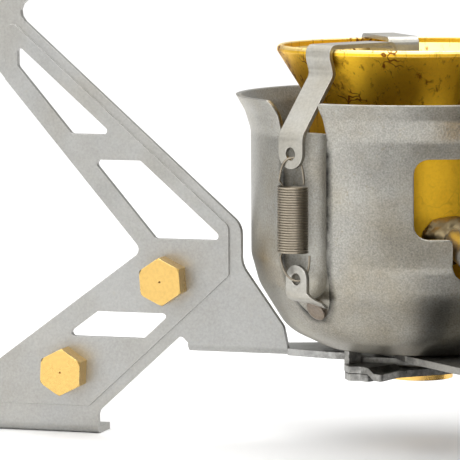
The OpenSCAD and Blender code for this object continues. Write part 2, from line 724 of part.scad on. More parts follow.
// Control valve: a round body with a hexagon for the tube's nut and a neck for the spindle
neck_r = 3.3;
neck_len = 9.2;
body_lo = valve_at - 11;
body_hi = valve_at + 8;
module valve_body() {
    color(brass) difference() {
        union() {
            translate([body_lo, 0, valve_z]) rotate([0, 90, 0]) {
                cylinder(r = valve_r / cos(30) - 0.1, h = 4, $fn = 6);
                translate([0, 0, 4]) cylinder(r = valve_r - 0.6, h = 1.4);
                translate([0, 0, 5.4]) cylinder(r = valve_r, h = body_hi - body_lo - 5.4);
            }
            translate([valve_at, 0, valve_z]) rotate([-90, 0, 0]) cylinder(r = neck_r, h = neck_len);
        }
        translate([body_lo - 1, 0, valve_z]) rotate([0, 90, 0]) cylinder(r = tube_r + snug, h = 5);
        translate([body_lo, 0, valve_z]) rotate([0, 90, 0]) cylinder(r = 0.9, h = 30);
        translate([body_hi - 3, 0, valve_z]) rotate([0, 90, 0]) cylinder(r = 2.2 + snug, h = 4);
        translate([valve_at, 1.6, valve_z]) rotate([-90, 0, 0]) cylinder(r = spindle_r + spindle_fit, h = neck_len);
    }
}

nut_len = 4;
module packing_nut() {
    color(brass) translate([valve_at, neck_len, valve_z]) rotate([-90, 0, 0]) difference() {
        intersection() {
            cylinder(r = 4.6, h = nut_len, $fn = 6);
            cylinder(r1 = 7.9, r2 = 4.2, h = nut_len);
        }
        translate([0, 0, -1]) cylinder(r = spindle_r + spindle_fit, h = nut_len + 2);
    }
}

knob_y = neck_len + nut_len + 1;
knob_len = 9;
module valve_spindle() {
    color(steel) translate([valve_at, 2, valve_z]) rotate([-90, 0, 0]) {
        cylinder(r = spindle_r, h = knob_y + knob_len - 5.2);
        translate([0, 0, -0.3]) cylinder(r1 = 0.5, r2 = spindle_r, h = 0.3, $fn = 48);
    }
}

flutes = 14;
module control_knob() {
    color(knob_black) translate([valve_at, knob_y, valve_z]) rotate([-90, 0, 0]) difference() {
        rotate_extrude() polygon([[0, 0], [3.4, 0], [3.4, 1.2], [knob_r - 0.6, 1.2], [knob_r, 1.8],
                                  [knob_r, knob_len - 1], [knob_r - 1, knob_len], [0, knob_len]]);
        for (i = [0:flutes - 1]) rotate([0, 0, i * 360 / flutes]) translate([knob_r + 0.5, 0, 1])
            cylinder(r = 1.1, h = knob_len, $fn = 24);
        translate([0, 0, -1]) cylinder(r = spindle_r + snug, h = knob_len + 2);
        translate([0, 0, knob_len - 2.6]) cylinder(r = 3, h = 4);
    }
}

module knob_screw() {
    color(steel) translate([valve_at, knob_y + knob_len - 2.6, valve_z]) rotate([-90, 0, 0]) difference() {
        union() {
            intersection() {
                cylinder(r = 2.6, h = 1.6);
                translate([0, 0, -3.4]) sphere(5);
            }
            translate([0, 0, -0.5]) cylinder(r = 1.2, h = 0.6);
        }
        translate([-3, -0.4, 0.9]) cube([6, 0.8, 2]);
    }
}

// Hose nipple: a hexagon, two barbs and a plain spigot
nipple_len = 12;
module hose_nipple() {
    color(brass) translate([body_hi, 0, valve_z]) rotate([0, 90, 0]) difference() {
        union() {
            translate([0, 0, -2.8]) cylinder(r = 2.2, h = 3);
            cylinder(r = valve_r / cos(30) - 0.3, h = 3, $fn = 6);
            cylinder(r = nipple_r, h = 3 + nipple_len);
            for (k = [0:1]) translate([0, 0, 4 + k * 2.4]) cylinder(r1 = nipple_r + 0.6, r2 = nipple_r, h = 2);
        }
        translate([0, 0, -4]) cylinder(r = 0.9, h = nipple_len + 10);
    }
}

// Strap: stands on the flame plate, crosses the bowl's rim, wraps it and runs down to the spring
strap_fit = 0.05;
strap_top = bowl_z + strap_t / 2 + strap_fit;
strap_drop = 21.4;
strap_end = bowl_z - strap_drop;
hole_z = strap_end + 2.75;
hole_span = 23;
tongue_at = spring_at + 0.2;
clip_reach = 60;
hook_hole_z = hole_z - hole_span;
strap_in_r = boss_r + 4.6;
strap_side_r = bowl_rim_r + strap_t / 2 + 3 * strap_fit;
strap_lean = 1;
strap_bend = 1.2;
clip_hole_r = 1.2;
strap_rows = [[strap_in_r, plate_top + strap_fit, 0], [strap_in_r, strap_top, strap_bend],
              [strap_side_r, strap_top, strap_bend], [strap_side_r, bowl_z - rim_band - 0.5, 2],
              [strap_side_r - strap_lean, bowl_z - 4.6, 2], [tongue_at, bowl_z - 15.4, 3],
              [tongue_at, strap_end - 3, 0]];
module strap_side() {
    polygon(band(bent(strap_rows, 5), strap_t));
}

module strap(a) {
    color(steel) rotate([0, 0, a]) difference() {
        intersection() {
            translate([0, strap_w / 2, 0]) rotate([90, 0, 0]) linear_extrude(strap_w) strap_side();
            union() {
                translate([0, -strap_w, strap_end + strap_w / 2]) cube([clip_reach, 2 * strap_w, clip_reach]);
                translate([0, 0, strap_end + strap_w / 2]) rotate([0, 90, 0]) cylinder(r = strap_w / 2, h = clip_reach);
            }
        }
        translate([tongue_at - 3, 0, hole_z]) rotate([0, 90, 0]) cylinder(r = clip_hole_r, h = 6, $fn = 32);
    }
}
module strap_1() { strap(clip_az[0]); }
module strap_2() { strap(clip_az[1]); }
module strap_3() { strap(clip_az[2]); }

// Hook plate: hangs on the spring, bends in over the rivet and down to lie on the cup, where it is riveted
hook_t = 0.8;
hook_at = spring_at - 1.2;
plate_line = rivet_p + wall_out * (hook_t / 2 + snug);
hook_land = plate_line + wall_dir * 3.2;
hook_tip = plate_line - wall_dir * 2.4;
hook_w = 5.3;
hook_end = 2.8;
hook_rows = [[hook_at, hook_hole_z + hook_end, 0], [hook_at, hook_land[1] + 0.7, 1.5],
             [hook_land[0], hook_land[1], 1], [hook_tip[0], hook_tip[1], 0]];
hook_face = [[-hook_w / 2, hook_hole_z + hook_end, 2.4], [hook_w / 2, hook_hole_z + hook_end, 2.4],
             [hook_w / 2, hook_hole_z - 2.2, 1.5], [hook_w / 2 + rivet_off, hook_land[1], 0.6],
             [hook_w / 2 + rivet_off, hook_tip[1] - 1, 1], [rivet_off - hook_w / 2, hook_tip[1] - 1, 1],
             [rivet_off - hook_w / 2, hook_land[1] - 1, 0.6], [-hook_w / 2, hook_land[1] + 1, 1]];
module hook_plate(a) {
    color(steel) rotate([0, 0, a]) difference() {
        intersection() {
            translate([0, 2 * hook_w, 0]) rotate([90, 0, 0]) linear_extrude(4 * hook_w)
                polygon(band(bent(hook_rows, 5), hook_t));
            rotate([90, 0, 90]) linear_extrude(clip_reach) polygon(rounded(hook_face));
        }
        translate([hook_at - 3, 0, hook_hole_z]) rotate([0, 90, 0]) cylinder(r = clip_hole_r, h = 6, $fn = 32);
        rivet_shank(snug);
    }
}
module hook_plate_1() { hook_plate(clip_az[0]); }
module hook_plate_2() { hook_plate(clip_az[1]); }
module hook_plate_3() { hook_plate(clip_az[2]); }

// Hub: bush, stud, friction washer and nut
nut_floor = 0.3;
washer_r = 7;
module hub_bush() {
    color(brass) difference() {
        union() {
            translate([0, 0, nut_t]) cylinder(r = bush_r, h = floor_z - nut_t);
            translate([0, 0, floor_z - spacer_t]) cylinder(r = eye_r - 1, h = spacer_t);
        }
        cylinder(r = stud_r + snug, h = floor_z + 1);
    }
}

module hub_stud() {
    color(steel) translate([0, 0, nut_floor]) cylinder(r = stud_r, h = cup_floor_top + stud_in_block - 0.5 - nut_floor);
}

module friction_washer() {
    color(steel_dark) translate([0, 0, washer_z]) difference() {
        cylinder(r = washer_r, h = washer_t);
        translate([0, 0, -1]) cylinder(r = bush_r + eye_fit, h = 3);
    }
}

module hub_nut() {
    color(brass_pale) difference() {
        cylinder(r = nut_r, h = nut_t);
        translate([0, 0, nut_floor]) cylinder(r = stud_r + snug, h = nut_t);
    }
}

// Spring: one wire, hooked through the strap, wound, and hooked through the hook plate
coil_r = spring_r - wire_r;
coil_top = (hole_z + hook_hole_z) / 2 + spring_len / 2;
sides = 6;
per_curl = 8;
hook_steps = 9;
// How far a hook stands before or behind its plate, and how far its free end is drawn in and back
hook_side = 0.72;
hook_in = 0.35;
hook_back = 0.5;
hook_reach = (hole_span - spring_len) / 2 - 0.2;
// u runs from 0 at the free end behind the plate to 1 at the wound part
function hook_pt(u, top) =
    let (a = 180 * u, out = hook_back * (1 - u) + hook_reach * sin(a), pass = max(-1, min(1, (u - 0.5) * 9)),
         plane = (top ? tongue_at : hook_at) - spring_at)
    [spring_at + plane * min(1, 2 - 2 * u) + hook_side * pass, (coil_r - hook_in * (1 - u)) * cos(a),
     top ? coil_top + out : coil_top - spring_len - out];
coil_start = 253;
function coil_pt(i) =
    let (a = coil_start + i * 360 / per_curl)
    [spring_at + coil_r * cos(a), coil_r * sin(a), coil_top - spring_len * i / (curls * per_curl)];
spring_path = concat([for (i = [0:hook_steps - 1]) hook_pt(i / hook_steps, true)],
                     [for (i = [0:curls * per_curl]) coil_pt(i)],
                     [for (i = [hook_steps - 1:-1:0]) hook_pt(i / hook_steps, false)]);

function transport(n, t) = unit(n - t * (n * t));
function frames(path) =
    let (k = len(path), t = [for (i = [0:k - 1]) unit(path[min(k - 1, i + 1)] - path[max(0, i - 1)])])
    [for (i = 0, n = transport([0.1, 0.2, 1], t[0]); i < k; i = i + 1,
          n = i < k ? transport(n, t[i]) : n) [n, cross(t[i], n)]];

module tube_mesh(path, r) {
    k = len(path);
    f = frames(path);
    points = [for (i = [0:k - 1], j = [0:sides - 1])
        path[i] + r * (f[i][0] * cos(j * 360 / sides) + f[i][1] * sin(j * 360 / sides))];
    faces = concat([for (i = [0:k - 2], j = [0:sides - 1], half = [0, 1])
        let (a = i * sides + j, b = i * sides + (j + 1) % sides, c = b + sides, d = a + sides)
        half == 0 ? [a, c, b] : [a, d, c]],
        [for (j = [1:sides - 2]) [0, j, j + 1]],
        [for (j = [1:sides - 2]) [(k - 1) * sides, (k - 1) * sides + j + 1, (k - 1) * sides + j]]);
    polyhedron(points, faces);
}

// Least gap of the wire to itself, over points more than a third of a curl apart
spring_gap = min([for (i = [0:len(spring_path) - 1], j = [i + 4:1:len(spring_path) - 1])
    norm(spring_path[i] - spring_path[j])]) - 2 * wire_r;
echo(spring_gap = spring_gap);

module spring(a) { color(steel_dark) rotate([0, 0, a]) tube_mesh(spring_path, wire_r); }
module spring_1() { spring(clip_az[0]); }
module spring_2() { spring(clip_az[1]); }
module spring_3() { spring(clip_az[2]); }

burner_cup();
flame_bowl();
flame_plate();
mixing_tube();
jet_block();
main_jet();
priming_pad();
fuel_tube();
brazed_joint();
valve_body();
packing_nut();
valve_spindle();
control_knob();
knob_screw();
hose_nipple();
strap_1();
strap_2();
strap_3();
spring_1();
spring_2();
spring_3();
hook_plate_1();
hook_plate_2();
hook_plate_3();
hook_rivets();
leg_fixed();
leg_left();
leg_right();
spare_jet_a();
spare_jet_b();
hub_bush();
hub_stud();
friction_washer();
hub_nut();
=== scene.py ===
"""Looks of a multi-fuel camping stove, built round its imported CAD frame. Metres, +Z up."""
import json
import math

import bpy
from mathutils import Matrix, Vector


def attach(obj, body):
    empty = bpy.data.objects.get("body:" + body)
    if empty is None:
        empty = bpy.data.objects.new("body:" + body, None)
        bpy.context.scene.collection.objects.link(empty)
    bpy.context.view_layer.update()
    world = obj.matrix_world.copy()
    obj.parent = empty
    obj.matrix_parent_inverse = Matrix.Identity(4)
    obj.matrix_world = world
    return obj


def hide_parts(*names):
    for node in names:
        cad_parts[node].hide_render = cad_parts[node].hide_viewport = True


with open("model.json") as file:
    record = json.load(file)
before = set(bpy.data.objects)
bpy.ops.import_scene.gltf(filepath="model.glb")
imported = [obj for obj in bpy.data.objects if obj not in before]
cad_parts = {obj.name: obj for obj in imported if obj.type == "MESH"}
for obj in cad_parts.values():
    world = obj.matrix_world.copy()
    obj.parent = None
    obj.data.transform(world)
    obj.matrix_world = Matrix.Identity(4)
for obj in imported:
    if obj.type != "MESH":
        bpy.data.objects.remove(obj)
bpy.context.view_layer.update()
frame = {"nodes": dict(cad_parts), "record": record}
nodes = frame["nodes"]

# Places and sizes from the CAD: lengths in metres, azimuths in degrees
MM = 0.001
GROUND_Z = -13 * MM
CLIP_AZIMUTHS = (62, 182, 302)
SPRING_AT = 34.5 * MM
TONGUE_AT = 34.7 * MM
HOOK_AT = 33.3 * MM
STRAP_HOLE_Z = 44.45 * MM
HOOK_HOLE_Z = 21.45 * MM
CLIP_T = 0.8 * MM
CLIP_EYE_R = 2.6 * MM
CLIP_HOLE_R = 1.1 * MM
RIVET_AT = (28.74 * MM, 15.58 * MM)
RIVET_SIDE = 0.7 * MM
RIVET_TILT = math.radians(121.46)
RIVET_HEAD_R = 2.05 * MM
RIVET_HEAD_H = 0.9 * MM
# Each step on a head's top: an inset, and how far the faces inside it then rise
RIVET_STEPS = ((0.55 * MM, 0.18 * MM), (0.25 * MM, -0.08 * MM))
BRAZE_AT = (20.2 * MM, 0, 28.1 * MM)
BRAZE_R = 4.7 * MM
BOWL_R = 20.85 * MM
CUP_R = 31.9 * MM
CHANNEL_AT = 33.8 * MM
CHANNEL_R = 6 * MM

# The springs. A hook's open tip stands out from the coil's end by HOOK_TIP_OUT and in from its
# side by HOOK_TIP_IN, and the hook steps sideways by HOOK_CROSSING on each side of its middle
SPRING_R = 2.9 * MM
WIRE_R = 0.214 * MM
SPRING_LEN = 12.1 * MM
SPRING_MID_Z = 32.4 * MM
SPRING_TURNS = 26
COIL_START = math.radians(265)
POINTS_A_TURN = 20
UPPER_SEAT_Z = STRAP_HOLE_Z - 0.7 * MM
LOWER_SEAT_Z = HOOK_HOLE_Z - 0.35 * MM
HOOK_POINTS = 16
HOOK_TIP_OUT = 0.5 * MM
HOOK_TIP_IN = 0.35 * MM
HOOK_CROSSING = 0.72 * MM
HOOK_CROSSING_RATE = 6

# The hook clips' feet, step by step: a move in millimetres, a widening, and how far the foot's
# middle stands to the side by then
CLIP_NECK_H = 2.4 * MM
CLIP_FOOT = (((-0.1, 0.35, -0.6), 1.12, 0.35),
             ((-0.5, 0.5, -0.7), 1.16, 0.85),
             ((-0.9, 0.45, -0.55), 1.08, 1.3),
             ((-1.1, 0.2, -0.45), 1.0, 1.5))
CLIP_TOE_TURN = math.radians(8)
CLIP_TOE_Z = 17.2 * MM

# The photograph's camera, from its own measured frame: X right, Y away, Z from the ground
CAMERA_BACK = 640 * MM
CAMERA_UP = 108.7 * MM
FOCAL_PIXELS = 3400
IMAGE_PIXELS = 460
SENSOR_MM = 36
# The picture's centre is HORIZON_PIXELS below the horizon, and AXIS_PIXELS left of the axis
HORIZON_PIXELS = 360
AXIS_PIXELS = 191
AIM_DOWN = math.atan(HORIZON_PIXELS / FOCAL_PIXELS)
AIM_LEFT = math.atan(AXIS_PIXELS / FOCAL_PIXELS)
ROLL = 0.005
PHOTO_TURN = math.radians(-286)

# What the finishes share: a worn edge's rounding, and the values that noise mostly lies between
EDGE_WIDTH = 0.2 * MM
NOISE_LOW = 0.3
NOISE_HIGH = 0.7


def photo_point(x, y, z):
    """A point given in the photograph's frame, in metres from the axis and the ground."""
    ground = Matrix.Translation((0, 0, GROUND_Z))
    return ground @ Matrix.Rotation(PHOTO_TURN, 4, "Z") @ Vector((x, y, z))


def make_camera():
    """Places the camera where the photograph was taken from."""
    forward = Vector((-math.sin(AIM_LEFT) * math.cos(AIM_DOWN),
                      math.cos(AIM_LEFT) * math.cos(AIM_DOWN),
                      -math.sin(AIM_DOWN)))
    level = Vector((math.cos(AIM_LEFT), math.sin(AIM_LEFT), 0))
    upright = level.cross(forward)
    right = (level - ROLL * upright).normalized()
    up = (upright + ROLL * level).normalized()
    turn = Matrix.Rotation(PHOTO_TURN, 4, "Z")
    at = photo_point(0, -CAMERA_BACK, CAMERA_UP)
    facing = Matrix((right, up, -forward)).transposed().to_4x4()
    data = bpy.data.cameras.new("photo_camera")
    data.sensor_width = SENSOR_MM
    data.lens = FOCAL_PIXELS / IMAGE_PIXELS * SENSOR_MM
    data.clip_start = 0.01
    data.clip_end = 20
    camera = bpy.data.objects.new("photo_camera", data)
    camera.matrix_world = Matrix.Translation(at) @ turn @ facing
    bpy.context.scene.collection.objects.link(camera)
    bpy.context.scene.camera = camera
    bpy.context.scene.view_settings.view_transform = "Standard"


# Selecting and dressing pieces
def deselect():
    """Leaves nothing selected, so that an operator acts on the new piece alone."""
    if bpy.context.object and bpy.context.object.mode != "OBJECT":
        bpy.ops.object.mode_set(mode="OBJECT")
    bpy.ops.object.select_all(action="DESELECT")


def select_alone(piece):
    """Selects one piece and makes it the active one."""
    deselect()
    piece.select_set(True)
    bpy.context.view_layer.objects.active = piece


def record_piece(piece, look, node):
    """Dresses a new piece of the burner, attaches it to the burner and hides the CAD node it stands
    for.
    """
    piece.data.materials.clear()
    piece.data.materials.append(look)
    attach(piece, "burner")
    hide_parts(node)


# Shader helpers
def link(tree, a, b):
    """Joins an output socket to an input socket."""
    tree.links.new(a, b)


def feed(tree, value, socket):
    """Gives an input socket another node's output, a number or a colour."""
    if isinstance(value, bpy.types.NodeSocket):
        link(tree, value, socket)
    elif isinstance(value, tuple):
        socket.default_value = (*value, 1)
    else:
        socket.default_value = value


def new_group(name, inputs, outputs):
    """A shader node group with named sockets, and its input and output nodes."""
    tree = bpy.data.node_groups.new(name, "ShaderNodeTree")
    for label, kind, value in inputs:
        socket = tree.interface.new_socket(label, in_out="INPUT", socket_type=kind)
        socket.default_value = value
    for label, kind in outputs:
        tree.interface.new_socket(label, in_out="OUTPUT", socket_type=kind)
    return tree, tree.nodes.new("NodeGroupInput"), tree.nodes.new("NodeGroupOutput")


def object_place(tree):
    """Where a point is in its own object, which is where it is on the stove."""
    return tree.nodes.new("ShaderNodeTexCoord").outputs["Object"]


def split(tree, vector):
    """The X, Y and Z of a vector."""
    parts = tree.nodes.new("ShaderNodeSeparateXYZ")
    link(tree, vector, parts.inputs[0])
    return parts.outputs


def noise(tree, vector, scale, detail=2.0, rough=0.5):
    """A cloudy pattern, mostly between NOISE_LOW and NOISE_HIGH."""
    cloud = tree.nodes.new("ShaderNodeTexNoise")
    feed(tree, scale, cloud.inputs["Scale"])
    feed(tree, detail, cloud.inputs["Detail"])
    feed(tree, rough, cloud.inputs["Roughness"])
    link(tree, vector, cloud.inputs["Vector"])
    return cloud.outputs["Fac"]


def remap(tree, value, low, high, to_low=0.0, to_high=1.0):
    """Stretches a value from one range to another, and holds it there."""
    ramp = tree.nodes.new("ShaderNodeMapRange")
    link(tree, value, ramp.inputs["Value"])
    feed(tree, low, ramp.inputs["From Min"])
    feed(tree, high, ramp.inputs["From Max"])
    feed(tree, to_low, ramp.inputs["To Min"])
    feed(tree, to_high, ramp.inputs["To Max"])
    return ramp.outputs["Result"]


def maths(tree, operation, a, b):
    """One step of arithmetic on two values."""
    node = tree.nodes.new("ShaderNodeMath")
    node.operation = operation
    feed(tree, a, node.inputs[0])
    feed(tree, b, node.inputs[1])
    return node.outputs[0]


def product(tree, *values):
    """All the values multiplied."""
    total = values[0]
    for value in values[1:]:
        total = maths(tree, "MULTIPLY", total, value)
    return total


def mix(tree, factor, a, b, blend="MIX"):
    """Colour a where the factor is 0, and b over it where the factor is 1."""
    node = tree.nodes.new("ShaderNodeMix")
    node.data_type = "RGBA"
    node.blend_type = blend
    feed(tree, factor, node.inputs[0])
    feed(tree, a, node.inputs[6])
    feed(tree, b, node.inputs[7])
    return node.outputs[2]


def mix_values(tree, factor, a, b):
    """Value a where the factor is 0, and b where it is 1."""
    node = tree.nodes.new("ShaderNodeMix")
    feed(tree, factor, node.inputs[0])
    feed(tree, a, node.inputs[2])
    feed(tree, b, node.inputs[3])
    return node.outputs[0]


def bump(tree, height, distance, strength=1.0):
    """A bump node that raises the surface by a pattern."""
    node = tree.nodes.new("ShaderNodeBump")
    feed(tree, distance, node.inputs["Distance"])
    feed(tree, strength, node.inputs["Strength"])
    link(tree, height, node.inputs["Height"])
    return node


def distance_to(tree, axes, x, y):
    """Distance from the upright line through (x, y), given a place's X, Y and Z."""
    flat = tree.nodes.new("ShaderNodeCombineXYZ")
    link(tree, maths(tree, "SUBTRACT", axes[0], x), flat.inputs[0])
    link(tree, maths(tree, "SUBTRACT", axes[1], y), flat.inputs[1])
    length = tree.nodes.new("ShaderNodeVectorMath")
    length.operation = "LENGTH"
    link(tree, flat.outputs[0], length.inputs[0])
    return length.outputs["Value"]


def stretched(tree, vector, scale):
    """The coordinates scaled, so that a pattern on them is longer where the scale is small."""
    mapping = tree.nodes.new("ShaderNodeMapping")
    mapping.inputs["Scale"].default_value = scale
    link(tree, vector, mapping.inputs["Vector"])
    return mapping.outputs[0]


# Shared effects
def blasted_grain_group():
    """Fine grain of blasted sheet: a colour that varies a little, a roughness and a normal."""
    tree, given, out = new_group("blasted_grain", [
        ("Color", "NodeSocketColor", (0.5, 0.5, 0.5, 1)), ("Variation", "NodeSocketFloat", 0.15),
        ("Grain Scale", "NodeSocketFloat", 2500.0), ("Depth", "NodeSocketFloat", 0.3),
        ("Roughness", "NodeSocketFloat", 0.45), ("Normal", "NodeSocketVector", (0, 0, 0))],
        [("Color", "NodeSocketColor"), ("Roughness", "NodeSocketFloat"),
         ("Normal", "NodeSocketVector")])
    where = object_place(tree)
    fine = noise(tree, where, given.outputs["Grain Scale"], detail=3.0, rough=0.6)
    cloud = noise(tree, where, 90.0, detail=4.0, rough=0.55)
    fine_swing = remap(tree, fine, NOISE_LOW, NOISE_HIGH, -1, 1)
    cloud_swing = remap(tree, cloud, NOISE_LOW, NOISE_HIGH, -1, 1)
    both = maths(tree, "ADD", product(tree, fine_swing, 0.6), product(tree, cloud_swing, 0.4))
    gain = maths(tree, "ADD", 1.0, product(tree, both, given.outputs["Variation"]))
    scaled = tree.nodes.new("ShaderNodeVectorMath")
    scaled.operation = "SCALE"
    link(tree, given.outputs["Color"], scaled.inputs[0])
    link(tree, gain, scaled.inputs["Scale"])
    link(tree, scaled.outputs[0], out.inputs["Color"])
    rough = maths(tree, "ADD", given.outputs["Roughness"], product(tree, cloud_swing, 0.05))
    link(tree, rough, out.inputs["Roughness"])
    raised = bump(tree, fine, distance=0.06 * MM, strength=given.outputs["Depth"])
    link(tree, given.outputs["Normal"], raised.inputs["Normal"])
    link(tree, raised.outputs[0], out.inputs["Normal"])
    return tree


def edge_wear_and_highlight_group():
    """Rounded edges of a sheet: their softened normal, and a mask of where they are rubbed, which
    the finishes paint brighter, partly as wear and partly as a painted highlight.
    """
    tree, given, out = new_group("edge_wear_and_highlight", [
        ("Width", "NodeSocketFloat", EDGE_WIDTH), ("Breaks", "NodeSocketFloat", 400.0)],
        [("Mask", "NodeSocketFloat"), ("Normal", "NodeSocketVector")])
    soft = tree.nodes.new("ShaderNodeBevel")
    soft.samples = 4
    link(tree, given.outputs["Width"], soft.inputs["Radius"])
    flat = tree.nodes.new("ShaderNodeNewGeometry")
    turn = tree.nodes.new("ShaderNodeVectorMath")
    turn.operation = "DOT_PRODUCT"
    link(tree, soft.outputs[0], turn.inputs[0])
    link(tree, flat.outputs["Normal"], turn.inputs[1])
    edge = remap(tree, turn.outputs["Value"], 0.99, 0.85)
    specks = noise(tree, object_place(tree), given.outputs["Breaks"], detail=3.0, rough=0.6)
    broken = remap(tree, specks, 0.35, 0.6, 0.25, 1.0)
    link(tree, product(tree, edge, broken), out.inputs["Mask"])
    link(tree, soft.outputs[0], out.inputs["Normal"])
    return tree


def stain_group():
    """Brown and dark stains of handling and heat over a metal's colour."""
    tree, given, out = new_group("stains", [
        ("Color", "NodeSocketColor", (0.5, 0.5, 0.5, 1)),
        ("Stain", "NodeSocketColor", (0.8, 0.7, 0.5, 1)),
        ("Amount", "NodeSocketFloat", 0.5), ("Patch Scale", "NodeSocketFloat", 60.0)],
        [("Color", "NodeSocketColor")])
    where = object_place(tree)
    patches = noise(tree, where, given.outputs["Patch Scale"], detail=5.0, rough=0.6)
    broad = remap(tree, patches, 0.42, 0.68)
    pits = remap(tree, noise(tree, where, 1100.0), 0.62, 0.72, 0.0, 0.7)
    mask = product(tree, maths(tree, "MAXIMUM", broad, pits), given.outputs["Amount"])
    shade = mix(tree, mask, given.outputs["Color"], given.outputs["Stain"], blend="MULTIPLY")
    link(tree, shade, out.inputs["Color"])
    return tree


def heat_marks_group():
    """Brown oxide patches, streaks and branching cracks of used brass, as a mask."""
    tree, given, out = new_group("heat_marks", [
        ("Patch Scale", "NodeSocketFloat", 60.0), ("Amount", "NodeSocketFloat", 0.5),
        ("Streaks", "NodeSocketFloat", 0.5), ("Cracks", "NodeSocketFloat", 0.0)],
        [("Mask", "NodeSocketFloat")])
    where = object_place(tree)
    patch = noise(tree, where, given.outputs["Patch Scale"], detail=6.0, rough=0.65)
    level = maths(tree, "SUBTRACT", 0.75, product(tree, given.outputs["Amount"], 0.4))
    spots = product(tree, maths(tree, "SUBTRACT", patch, level), 6.0)
    upright = noise(tree, stretched(tree, where, (1, 1, 0.12)), 700.0, detail=3.0, rough=0.7)
    streaks = product(tree, remap(tree, upright, 0.56, 0.7), given.outputs["Streaks"])
    # Lines between cells of a bent pattern, broken up by a cloudy one
    swirl = tree.nodes.new("ShaderNodeTexNoise")
    swirl.inputs["Scale"].default_value = 220.0
    link(tree, where, swirl.inputs["Vector"])
    cells = tree.nodes.new("ShaderNodeTexVoronoi")
    cells.feature = "DISTANCE_TO_EDGE"
    cells.inputs["Scale"].default_value = 230.0
    link(tree, mix(tree, 0.012, where, swirl.outputs["Color"]), cells.inputs["Vector"])
    lines = remap(tree, cells.outputs["Distance"], 0.0, 0.07, 1.0, 0.0)
    cracked = remap(tree, noise(tree, where, 75.0, detail=3.0, rough=0.6), 0.5, 0.6)
    cracks = product(tree, lines, cracked, given.outputs["Cracks"])
    # Fewer marks low on the bowl than on its flare
    flare = remap(tree, split(tree, where)[2], 44 * MM, 54 * MM, 0.15, 1.0)
    fine_marks = maths(tree, "ADD", streaks, cracks)
    marks = maths(tree, "ADD", maths(tree, "MAXIMUM", spots, 0.0), fine_marks)
    total = tree.nodes.new("ShaderNodeClamp")
    link(tree, product(tree, marks, flare), total.inputs["Value"])
    link(tree, total.outputs[0], out.inputs["Mask"])
    return tree


def channel_crease_shade_group():
    """Painted shade: dark lines in the creases along both edges of the cup's three pressed channels,
    as a mask.
    """
    tree, given, out = new_group("channel_crease_shade", [("Amount", "NodeSocketFloat", 0.6)],
                                 [("Mask", "NodeSocketFloat")])
    where = object_place(tree)
    axes = split(tree, where)
    from_axis = distance_to(tree, axes, 0, 0)
    nearest = None
    for azimuth in CLIP_AZIMUTHS:
        angle = math.radians(azimuth)
        near = distance_to(tree, axes, CHANNEL_AT * math.cos(angle), CHANNEL_AT * math.sin(angle))
        nearest = near if nearest is None else maths(tree, "MINIMUM", nearest, near)
    on_wall = remap(tree, nearest, CHANNEL_R + 0.3 * MM, CHANNEL_R + 1.5 * MM, 1.0, 0.0)
    in_channel = remap(tree, nearest, CHANNEL_R + 0.1 * MM, CHANNEL_R + 0.2 * MM, 1.0, 0.0)
    near_edge = remap(tree, from_axis, CUP_R - 1.3 * MM, CUP_R)
    edge = mix_values(tree, in_channel, on_wall, near_edge)
    outside = remap(tree, from_axis, CUP_R - 5.2 * MM, CUP_R - 4.6 * MM)
    below_rim = remap(tree, axes[2], 44 * MM, 48 * MM, 1.0, 0.0)
    patchy = remap(tree, noise(tree, where, 260.0, detail=4.0, rough=0.6), 0.3, 0.6, 0.45, 1.0)
    mask = product(tree, edge, below_rim, product(tree, patchy, outside))
    link(tree, product(tree, mask, given.outputs["Amount"]), out.inputs["Mask"])
    return tree


def hub_soot_and_shade_group():
    """Scuffs and soot round the hub, together with painted shade between its stacked plates and
    along their edges, strongest on the given edges, as a mask.
    """
    tree, given, out = new_group("hub_soot_and_shade", [
        ("Edges", "NodeSocketFloat", 0.0), ("Amount", "NodeSocketFloat", 0.5)],
        [("Mask", "NodeSocketFloat")])
    where = object_place(tree)
    from_axis = distance_to(tree, split(tree, where), 0, 0)
    near_hub = remap(tree, from_axis, 16 * MM, 26 * MM, 1.0, 0.0)
    spots = remap(tree, noise(tree, where, 500.0, detail=5.0, rough=0.7), 0.40, 0.58)
    dirty = maths(tree, "ADD", product(tree, given.outputs["Edges"], 0.9), 0.5)
    mask = product(tree, near_hub, spots, dirty, given.outputs["Amount"])
    link(tree, mask, out.inputs["Mask"])
    return tree


def facing_up_group():
    """A mask that is 1 where the surface faces up, for a painted highlight from above."""
    tree, given, out = new_group("facing_up", [
        ("From", "NodeSocketFloat", 0.3), ("To", "NodeSocketFloat", 0.6)],
        [("Mask", "NodeSocketFloat")])
    facing = tree.nodes.new("ShaderNodeTexCoord").outputs["Normal"]
    mask = remap(tree, split(tree, facing)[2], given.outputs["From"], given.outputs["To"])
    link(tree, mask, out.inputs["Mask"])
    return tree


GRAIN = blasted_grain_group()
CREASE_SHADE = channel_crease_shade_group()
WEAR_AND_HIGHLIGHT = edge_wear_and_highlight_group()
STAINS = stain_group()
HEAT = heat_marks_group()
FACING_UP = facing_up_group()
SOOT_AND_SHADE = hub_soot_and_shade_group()


def new_material(name):
    """A new material, its node tree and its Principled BSDF."""
    material = bpy.data.materials.new(name)
    material.use_nodes = True
    tree = material.node_tree
    return material, tree, tree.nodes["Principled BSDF"]


def grouped(tree, group, **values):
    """A shared effect placed in a material; an underscore in a name stands for a space."""
    node = tree.nodes.new("ShaderNodeGroup")
    node.node_tree = group
    for key, value in values.items():
        feed(tree, value, node.inputs[key.replace("_", " ")])
    return node


def darker(color, share):
    """A colour with only a share of its light left."""
    return tuple(c * share for c in color)


